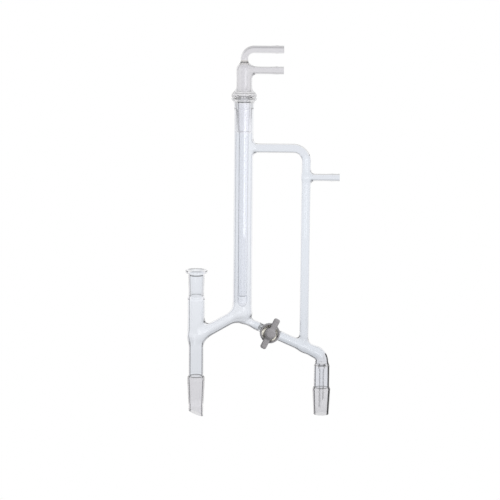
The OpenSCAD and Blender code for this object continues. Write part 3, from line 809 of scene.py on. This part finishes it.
def finger_slot(x, z, flat):
    """Slot of a face of the finger's outside; flat says that it is nearly level."""
    if z < JACKET_END_Z + JACKET_R:
        return FINGER_TIP
    if COLLAR_Z - 1 < z < COLLAR_Z + 2 and flat:
        return FINGER_RIMS
    # The jacket's left half takes a painted shade line.
    if z < COLLAR_Z:
        return JACKET if x > COLUMN_X else JACKET_LEFT_SHADE
    if z < COLLAR_Z + 8:
        return COLLAR_GLASS
    return OUTSIDE


def make_finger(glass):
    """The cold finger, whose glass holds a material for each slot."""
    ys = levels((-17.85, 17.85, 0.85))
    xs = levels((COLUMN_X - 17.85, COLUMN_X + 17.85, 0.85), (COLUMN_X + 17.85, WATER_END + 13, 1.3))
    zs = levels((96, 120, 1.0), (120, 330, 3.6), (330, 342, 1.0), (342, 374, 2.6), (374, 382, 1.6),
                (382, 400, 0.6), (400, 412, 1.4), (412, 456, 0.85))
    finger = dress(solid("blown_finger", *skin(finger_outside(), xs, ys, zs)), *glass)
    for face in finger.data.polygons:
        x, y, z = face.center / MM
        face.material_index = finger_slot(x, z, abs(face.normal.z) > FLAT)

    bore = solid("bore", *skin(finger_bore(), xs, ys, zs))
    cut(bore, rod("water_tube", WATER_TUBE_R, WATER_TUBE_Z, DOME_Z + 4, (COLUMN_X, 0, 0)))
    cut(finger, bore)
    for face in finger.data.polygons:
        z = face.center.z / MM
        if face.material_index == BORE and z < WATER_TUBE_Z + 1:
            face.material_index = FINGER_TIP
        elif face.material_index == BORE and abs(face.normal.z) > FLAT and COLLAR_Z < z < COLLAR_Z + 3:
            face.material_index = FINGER_RIMS

    turn = [math.radians(a) for a in range(180, 88, -6)]
    bend_x, bend_z = COLUMN_X + WATER_BEND_R, HIGH_WATER_Z - WATER_BEND_R
    path = [(COLUMN_X, z) for z in np.linspace(WATER_TUBE_Z - 4, bend_z - 1, 24)]
    path += [(bend_x + WATER_BEND_R * math.cos(a), bend_z + WATER_BEND_R * math.sin(a)) for a in turn]
    path += [(x, HIGH_WATER_Z) for x in (bend_x + 2, WATER_END - 10, WATER_END + 2)]
    cut(finger, swept("water_bore", path, WATER_TUBE_R - THIN_WALL),
        block("nozzle_ends", (WATER_END, -20, LOW_WATER_Z - 20), (40, 40, 70)))
    for face in finger.data.polygons:
        x, z = face.center.x / MM, face.center.z / MM
        in_arm = x > COLUMN_X + HEAD_R + 3 or z > DOME_Z + 5
        if in_arm and face.material_index in (OUTSIDE, BORE):
            face.material_index = FINGER_ARMS if face.material_index == OUTSIDE else FINGER_ARM_BORE
    return smooth(finger)


# ---------------- stopcock

TILT = math.acos(COCK_AXIS.y)
COCK_TURN = (Matrix.Rotation(FALL, 3, "Y") @ Matrix.Rotation(-TILT, 3, "X")
             @ Matrix.Rotation(-FALL, 3, "Y") @ Matrix.Rotation(-math.pi / 2, 3, "X"))


def at_cock(points, turn=0.0):
    """Points from the stopcock's own axes, with +Z to the back, to the frame's."""
    place = np.array(COCK_TURN @ Matrix.Rotation(turn, 3, "Z"))
    return np.asarray(points) @ place.T + np.array((COCK_X, 0, COCK_Z))


def beyond(value, low, high):
    """How far a value is outside two levels; less than 0 between them."""
    return np.abs(value - (low + high) / 2) - (high - low) / 2


def handle_field(x, y, z):
    """Moulded handle in its own axes: X along the bar, Z to the back."""
    corner = 2.8
    side = np.hypot(np.maximum(np.abs(x) - BAR_HALF_L + corner, 0),
                    np.maximum(np.abs(y) - BAR_HALF_W + corner, 0)) - corner
    bar = rounded(side, beyond(z, BAR_FRONT, BAR_BACK), 2.6)
    rho = np.hypot(x, y)
    hub_side = np.clip(HUB_TOP_R + z - HUB_FRONT, HUB_TOP_R, HUB_R)
    hub = rounded((rho - hub_side) / 1.3, beyond(z, HUB_FRONT, PLUG_HEAD_FRONT), 0.7)
    ring = rounded(beyond(rho, RING_R - RING_W, RING_R), beyond(z, BAR_BACK - 0.6, PLUG_HEAD_BACK), 0.8)
    drive = np.maximum(rho - DRIVE_R, DRIVE_FRONT - z)
    return np.maximum(soft_union(soft_union(bar, hub, 0.5), ring, 1.5), -drive)


def make_handle():
    """Grey T handle with its hub and ring, in one."""
    points, faces = skin(handle_field, levels((-24, 24, 0.55)), levels((-14.3, 14.3, 0.55)),
                         levels((-38.2, -18.2, 0.5)))
    return smooth(solid("moulded_handle", at_cock(points, -HANDLE_ANGLE), faces), 40)


def make_nut():
    """Nut behind the barrel, with grip ribs round it."""
    ribs, per_rib = 20, 8
    corners = ribs * per_rib
    length = NUT_BACK - NUT_FRONT
    outline = [(TAIL_R, 0), (NUT_R - 1.6, 0), (NUT_R - 0.9, 0.25), (NUT_R, 1.1), (NUT_R, length - 1.1),
               (NUT_R - 0.9, length - 0.25), (NUT_R - 1.6, length), (TAIL_R, length)]
    points, faces = [], []
    for r, h in outline:
        for i in range(corners):
            angle = 2 * math.pi * i / corners
            groove = 0.45 * (0.5 - 0.5 * math.cos(ribs * angle)) ** 2 if r > NUT_R - 1.2 else 0
            points.append(((r - groove) * math.cos(angle), (r - groove) * math.sin(angle), NUT_FRONT + h))
    for k in range(len(outline)):
        below, above = k * corners, (k + 1) % len(outline) * corners
        for i in range(corners):
            j = (i + 1) % corners
            faces.append((below + i, below + j, above + j, above + i))
    return smooth(solid("ribbed_nut", at_cock(points), faces), 40)


# ---------------- materials

GLASS_IOR = 1.47
FLAT_IOR = 1.06          # flat rims would turn black with the real one
ARM_IOR = 1.13           # and level arms would get heavy dark edges
FROST = 0.22             # roughness of ground glass
SEAM_L = 0.9             # height of the dark line at a ground part's end
RECEIVER_SEAM = RECEIVER_CONE_Z + SEAM
CLEAR = (0.936, 0.946, 0.978)
RIGHT_CLEAR = (0.87, 0.89, 0.93)
# Painted shading of the glass walls: a lighter outer band and dark lines in place of shade
OUTER = (0.97, 0.97, 0.98)
SOFT_SHADE_LINE = (0.60, 0.61, 0.65)
DARK_SHADE_LINE = (0.03, 0.03, 0.035)
BLACK_SHADE_LINE = (0, 0, 0)
RECEIVER_CLEAR = (0.80, 0.80, 0.83)
RECEIVER_PINK = (0.80, 0.78, 0.79)
PINK = (0.905, 0.88, 0.895)
PINK_OUTER = (0.93, 0.915, 0.92)
SMOKY = (0.75, 0.74, 0.765)
SEAL_BROWN = (0.74, 0.71, 0.69)
SEAM_LINE = (0.06, 0.06, 0.06)
LINING = [(0, (0.94, 0.96, 0.985)), (1, (0.92, 0.94, 0.97))]
JOINT_CLEAR = [(0, (0.99, 0.99, 1)), (1, (0.97, 0.97, 0.98))]
FINGER_LINING = [(0, (0.985, 0.985, 0.99)), (1, (0.96, 0.96, 0.97))]


class Nodes:
    """Short calls for the nodes of a material or a world."""

    def __init__(self, owner):
        owner.use_nodes = True
        self.owner = owner
        self.tree = owner.node_tree
        self.shader = self.tree.nodes.get("Principled BSDF")

    def add(self, kind, **values):
        node = self.tree.nodes.new(kind)
        for key, value in values.items():
            if hasattr(node, key):
                setattr(node, key, value)
            else:
                node.inputs[key].default_value = value
        return node

    def link(self, source, target):
        self.tree.links.new(source, target)


def ramp_of(n, source, stops):
    """A colour ramp of (position, colour) stops, fed by a socket."""
    ramp = n.add("ShaderNodeValToRGB")
    elements = ramp.color_ramp.elements
    for element, (position, colour) in zip(elements, (stops[0], stops[-1])):
        element.position = position
        element.color = (*colour, 1)
    for position, colour in stops[1:-1]:
        elements.new(position).color = (*colour, 1)
    n.link(source, ramp.inputs["Fac"])
    return ramp.outputs["Color"]


def mixed(n, factor, a, b):
    """Colour a where the factor is 0 and b where it is 1; each is a socket or a plain colour."""
    mix = n.add("ShaderNodeMix", data_type="RGBA")
    n.link(factor, mix.inputs[0])
    for colour, socket in ((a, mix.inputs[6]), (b, mix.inputs[7])):
        if isinstance(colour, tuple):
            socket.default_value = (*colour, 1)
        else:
            n.link(colour, socket)
    return mix.outputs[2]


def painted_edge_shading(clear, line, outer, rim, line_to=0.45):
    """Stops of painted shading of a glass wall by its slant: middle, painted dark line of the inner wall,
    painted lighter outer part, painted outline.
    """
    line_from, fade = 0.385, 0.06
    return [(0, clear), (0.33, clear), (line_from, line), (line_to, line), (line_to + fade, outer),
            (0.85, outer), (1, rim)]


def grey(level):
    """Colour or tint without a hue."""
    return (level, level, level)


def glass_with_painted_shading(name, stops, rings=(), ground=None, ior=GLASS_IOR):
    """Clear glass whose colour by the angle it is seen at is painted shading: darker lines and outlines,
    lighter bands.

    rings are (low, high, tint) bands of height in millimetres; some are painted shade lines.
    ground is (stops, seam): glass that is frosted below the seam's height.
    """
    n = Nodes(bpy.data.materials.new(name))
    n.shader.inputs["Roughness"].default_value = 0.0
    n.shader.inputs["IOR"].default_value = ior
    n.shader.inputs["Transmission Weight"].default_value = 1.0
    # The ramp by slant paints shading on top of the glass's own tint.
    edge = n.add("ShaderNodeLayerWeight", Blend=0.5)
    place = n.add("ShaderNodeTexCoord")
    split = n.add("ShaderNodeSeparateXYZ")
    n.link(place.outputs["Object"], split.inputs["Vector"])
    height = split.outputs["Z"]
    colour = ramp_of(n, edge.outputs["Facing"], stops)
    if ground:
        tints, seam = ground
        above = n.add("ShaderNodeMath", operation="GREATER_THAN")
        n.link(height, above.inputs[0])
        above.inputs[1].default_value = seam * MM
        colour = mixed(n, above.outputs[0], ramp_of(n, edge.outputs["Facing"], tints), colour)
        frost = n.add("ShaderNodeMapRange")
        frost.inputs["To Min"].default_value = FROST
        frost.inputs["To Max"].default_value = 0.0
        n.link(above.outputs[0], frost.inputs["Value"])
        n.link(frost.outputs["Result"], n.shader.inputs["Roughness"])
    for low, high, tint in rings:
        there = n.add("ShaderNodeMath", operation="COMPARE")
        n.link(height, there.inputs[0])
        there.inputs[1].default_value = (low + high) / 2 * MM
        there.inputs[2].default_value = (high - low) / 2 * MM
        colour = mixed(n, there.outputs[0], colour, tint)
    n.link(colour, n.shader.inputs["Base Color"])
    return n.owner


def plain_material(name, colour, roughness, bump, scale):
    """Moulded plastic or rubber with a faint grain."""
    n = Nodes(bpy.data.materials.new(name))
    n.shader.inputs["Roughness"].default_value = roughness
    place = n.add("ShaderNodeTexCoord")
    noise = n.add("ShaderNodeTexNoise", Scale=scale, Detail=4)
    n.link(place.outputs["Object"], noise.inputs["Vector"])
    dark = tuple(c * 0.94 for c in colour)
    light = tuple(min(1, c * 1.05) for c in colour)
    n.link(ramp_of(n, noise.outputs["Fac"], [(0, dark), (1, light)]), n.shader.inputs["Base Color"])
    lumps = n.add("ShaderNodeBump", Strength=bump, Distance=0.0002)
    n.link(noise.outputs["Fac"], lumps.inputs["Height"])
    n.link(lumps.outputs["Normal"], n.shader.inputs["Normal"])
    return n.owner


# ---------------- stage

# Light of the studio by the height of the direction, from straight down (-1) to straight up (1)
STUDIO = [(-1, 0.92), (-0.93, 0.9), (-0.87, 0.12), (-0.75, 0.12), (-0.55, 0.58), (-0.30, 0.76),
          (-0.226, 0.84), (-0.16, 0.95), (0.6, 0.97), (0.85, 0.7), (1, 0.7)]
DIM = 0.35               # light of the room on plastic, beside the lamps


def make_world():
    """Light tent that is darker underneath, and plain white behind the object for the camera itself."""
    world = bpy.data.worlds.new("studio")
    bpy.context.scene.world = world
    n = Nodes(world)
    back = n.tree.nodes["Background"]
    back.inputs["Strength"].default_value = 1.0
    place = n.add("ShaderNodeTexCoord")
    split = n.add("ShaderNodeSeparateXYZ")
    n.link(place.outputs["Generated"], split.inputs["Vector"])
    share = n.add("ShaderNodeMapRange")
    share.inputs["From Min"].default_value = -1
    n.link(split.outputs["Z"], share.inputs["Value"])
    stops = [((height + 1) / 2, grey(light)) for height, light in STUDIO]
    colour = ramp_of(n, share.outputs["Result"], stops)
    path = n.add("ShaderNodeLightPath")
    for ray, light in (("Is Diffuse Ray", DIM), ("Is Camera Ray", 1)):
        colour = mixed(n, path.outputs[ray], colour, grey(light))
    n.link(colour, back.inputs["Color"])


def make_lamp(name, spot, size, height, watts):
    """Soft lamp that faces the middle of the object."""
    lamp = bpy.data.objects.new(name, bpy.data.lights.new(name, "AREA"))
    bpy.context.collection.objects.link(lamp)
    lamp.data.shape = "RECTANGLE"
    lamp.data.size = size
    lamp.data.size_y = height
    lamp.data.energy = watts
    lamp.location = spot
    aim = Vector((0.09, 0, 0.18))
    lamp.rotation_euler = (aim - lamp.location).to_track_quat("-Z", "Y").to_euler()
    return lamp


def make_floor(z):
    """Pale floor under the tip, plain white to the camera. The glass doesn't mirror or bend it."""
    bpy.ops.mesh.primitive_circle_add(vertices=96, radius=0.6, fill_type="NGON", location=(0.09, 0, z))
    floor = bpy.context.object
    floor.name = "floor"
    n = Nodes(bpy.data.materials.new("pale_floor"))
    n.shader.inputs["Base Color"].default_value = (*grey(0.86), 1)
    n.shader.inputs["Roughness"].default_value = 0.9
    shine = n.add("ShaderNodeEmission")
    path = n.add("ShaderNodeLightPath")
    mix = n.add("ShaderNodeMixShader")
    n.link(path.outputs["Is Camera Ray"], mix.inputs[0])
    n.link(n.shader.outputs[0], mix.inputs[1])
    n.link(shine.outputs[0], mix.inputs[2])
    n.link(mix.outputs[0], n.tree.nodes["Material Output"].inputs["Surface"])
    dress(floor, n.owner)
    floor.visible_transmission = False
    floor.visible_glossy = False


def make_shade():
    """Black card at the lower left, which only keeps the room's light off the plastic from that side."""
    bpy.ops.mesh.primitive_plane_add(size=1.4, location=(-0.35, -0.55, -0.25))
    shade = bpy.context.object
    shade.name = "shade"
    shade.rotation_euler = (Vector((0.1, 0, 0.07)) - shade.location).to_track_quat("Z", "Y").to_euler()
    n = Nodes(bpy.data.materials.new("black_card"))
    n.shader.inputs["Base Color"].default_value = (*grey(0.01), 1)
    dress(shade, n.owner)
    shade.visible_camera = False
    shade.visible_glossy = False
    shade.visible_transmission = False


def make_camera():
    """Camera far off and a little above, rolled by half a degree."""
    camera = bpy.data.objects.new("camera", bpy.data.cameras.new("camera"))
    bpy.context.collection.objects.link(camera)
    aim = Vector((0.0722, 0, 0.1788))
    tilt, roll = math.radians(9), math.radians(0.54)
    away, wide, sensor = 2.2, 0.675, 36
    camera.location = aim + away * Vector((0, -math.cos(tilt), math.sin(tilt)))
    turn = (aim - camera.location).to_track_quat("-Z", "Y").to_matrix()
    camera.rotation_euler = (turn @ Matrix.Rotation(roll, 3, "Z")).to_euler()
    camera.data.sensor_width = sensor
    camera.data.lens = sensor * away / wide
    bpy.context.scene.camera = camera


def place(piece, body, node, slot):
    """The piece moves with a body and stands for a CAD node, which is hidden; the slot is not used."""
    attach(piece, body)
    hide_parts(node)


# ---------------- all pieces

seam_and_seal = [
    (RECEIVER_SEAM - SEAM_L, RECEIVER_SEAM, SEAM_LINE),
    (SEAL_Z - 0.5, SEAL_Z + 0.4, grey(0.1))]
# Painted shade: a dark ring under the collar in place of the rim's dark lower outline
painted_smile_shade = [(COLLAR_Z - 6.6, COLLAR_Z - 5.3, grey(0.04))]
head_glass = (
    glass_with_painted_shading("head_glass_outside", painted_edge_shading(CLEAR, SOFT_SHADE_LINE, OUTER, grey(0.85))),
    glass_with_painted_shading("head_glass_bore", LINING),
    glass_with_painted_shading("ground_flask_cone", painted_edge_shading((0.90, 0.91, 0.94), DARK_SHADE_LINE, OUTER, grey(0.7), 0.48),
           [(SEAM - SEAM_L, SEAM, SEAM_LINE)],
           (painted_edge_shading(PINK, DARK_SHADE_LINE, PINK_OUTER, grey(0.5)), SEAM)),
    glass_with_painted_shading("ground_receiver_cone",
           painted_edge_shading(RECEIVER_CLEAR, DARK_SHADE_LINE, grey(0.9), grey(0.5), 0.52), seam_and_seal,
           (painted_edge_shading(RECEIVER_PINK, DARK_SHADE_LINE, (0.85, 0.84, 0.84), grey(0.4), 0.52), RECEIVER_SEAM)),
    glass_with_painted_shading("centre_socket", JOINT_CLEAR),
    # Painted shade: the drip tube's dark outline.
    glass_with_painted_shading("drip_tube", [(0, grey(0.97)), (0.25, grey(0.97)), (0.3, grey(0.2)), (1, grey(0.2))]),
    glass_with_painted_shading("probe_socket", LINING, [(PROBE_RIM_Z - 7.6, PROBE_RIM_Z - 6.2, grey(0.01))]),
    glass_with_painted_shading("bypass_glass", painted_edge_shading(RIGHT_CLEAR, SOFT_SHADE_LINE, OUTER, grey(0.85))),
    glass_with_painted_shading("flat_rims", JOINT_CLEAR, ior=FLAT_IOR),
    # Painted shade: a darker line on the riser's left side.
    glass_with_painted_shading("riser_left_painted_shade", painted_edge_shading(CLEAR, (0.2, 0.2, 0.22), OUTER, grey(0.85))),
    # Painted shade: the receiver's right half is darker, with black lines.
    glass_with_painted_shading("ground_receiver_right_painted_shade",
           painted_edge_shading(RECEIVER_CLEAR, BLACK_SHADE_LINE, grey(0.5), grey(0.4), 0.7), seam_and_seal,
           (painted_edge_shading(RECEIVER_PINK, BLACK_SHADE_LINE, grey(0.5), grey(0.4), 0.7), RECEIVER_SEAM)),
    # Painted shade: the column's left half is darker, with a darker line.
    glass_with_painted_shading("column_left_painted_shade", painted_edge_shading((0.81, 0.825, 0.865), (0.45, 0.46, 0.5), OUTER, grey(0.85))),
    # Painted shade: a dark line on the socket's left side.
    glass_with_painted_shading("centre_socket_left_painted_shade", painted_edge_shading(grey(0.985), grey(0.15), grey(0.96), grey(0.9))),
    glass_with_painted_shading("arm_glass", painted_edge_shading((0.90, 0.915, 0.95), grey(0.95), grey(0.985), grey(0.93)), ior=ARM_IOR),
    glass_with_painted_shading("arm_bore", [(0, (0.90, 0.915, 0.94)), (1, (0.88, 0.895, 0.92))], ior=ARM_IOR))
finger_glass = (
    glass_with_painted_shading("finger_glass_head", painted_edge_shading(SMOKY, grey(0.45), (0.84, 0.84, 0.85), grey(0.8)),
           [(DOME_Z - 2.5, DOME_Z + 2.5, SEAL_BROWN)]),
    glass_with_painted_shading("finger_glass_bore", FINGER_LINING),
    glass_with_painted_shading("finger_glass_jacket",
           painted_edge_shading((0.98, 0.985, 0.995), (0.5, 0.5, 0.53), grey(0.98), grey(0.9)), painted_smile_shade),
    glass_with_painted_shading("finger_glass_collar", [(0, (0.86, 0.85, 0.865)), (1, grey(0.9))],
           [(COLLAR_Z + 5.6, COLLAR_Z + 6.4, grey(0.3))]),
    glass_with_painted_shading("finger_glass_tip", JOINT_CLEAR, ior=FLAT_IOR),
    glass_with_painted_shading("finger_flat_rims", JOINT_CLEAR, ior=FLAT_IOR),
    # Painted shade: a darker line on the jacket's left side.
    glass_with_painted_shading("finger_jacket_left_painted_shade",
           painted_edge_shading((0.97, 0.975, 0.985), (0.1, 0.1, 0.11), grey(0.95), grey(0.9)), painted_smile_shade),
    glass_with_painted_shading("finger_arms", painted_edge_shading(SMOKY, grey(0.85), (0.87, 0.87, 0.88), grey(0.9)), ior=ARM_IOR),
    glass_with_painted_shading("finger_arm_bore", FINGER_LINING, ior=ARM_IOR))
plastic = plain_material("grey_plastic", (0.245, 0.236, 0.245), 0.42, 0.15, 900)
ptfe = plain_material("ptfe", (0.88, 0.85, 0.76), 0.35, 0.1, 500)
rubber = plain_material("rubber", (0.05, 0.03, 0.02), 0.6, 0.2, 1500)

place(make_head(head_glass), "head", "head_glass", "head_glass")
place(make_finger(finger_glass), "head", "cold_finger", "finger_glass")
place(dress(make_handle(), plastic), "stopcock", "stopcock_handle", "grey_plastic")
place(dress(make_nut(), plastic), "stopcock", "stopcock_nut", "grey_plastic")
for node, material in (("stopcock_plug", ptfe), ("stopcock_washer", ptfe), ("stopcock_o_ring", rubber)):
    dress(frame["nodes"][node], material)

cycles = bpy.context.scene.cycles    # light passes many glass walls
cycles.max_bounces = 40
cycles.transmission_bounces = 40
cycles.glossy_bounces = 12

make_floor(HEAD_LOW.z * MM)
make_world()
key = make_lamp("key", (0.85, -1.05, 1.45), 0.4, 0.4, 36)
key.visible_glossy = False
key.visible_transmission = False
make_shade()
make_lamp("strip", (0.68, -1.45, 0.18), 0.75, 0.44, 1.3)
make_camera()
bpy.context.scene.view_settings.view_transform = "Standard"
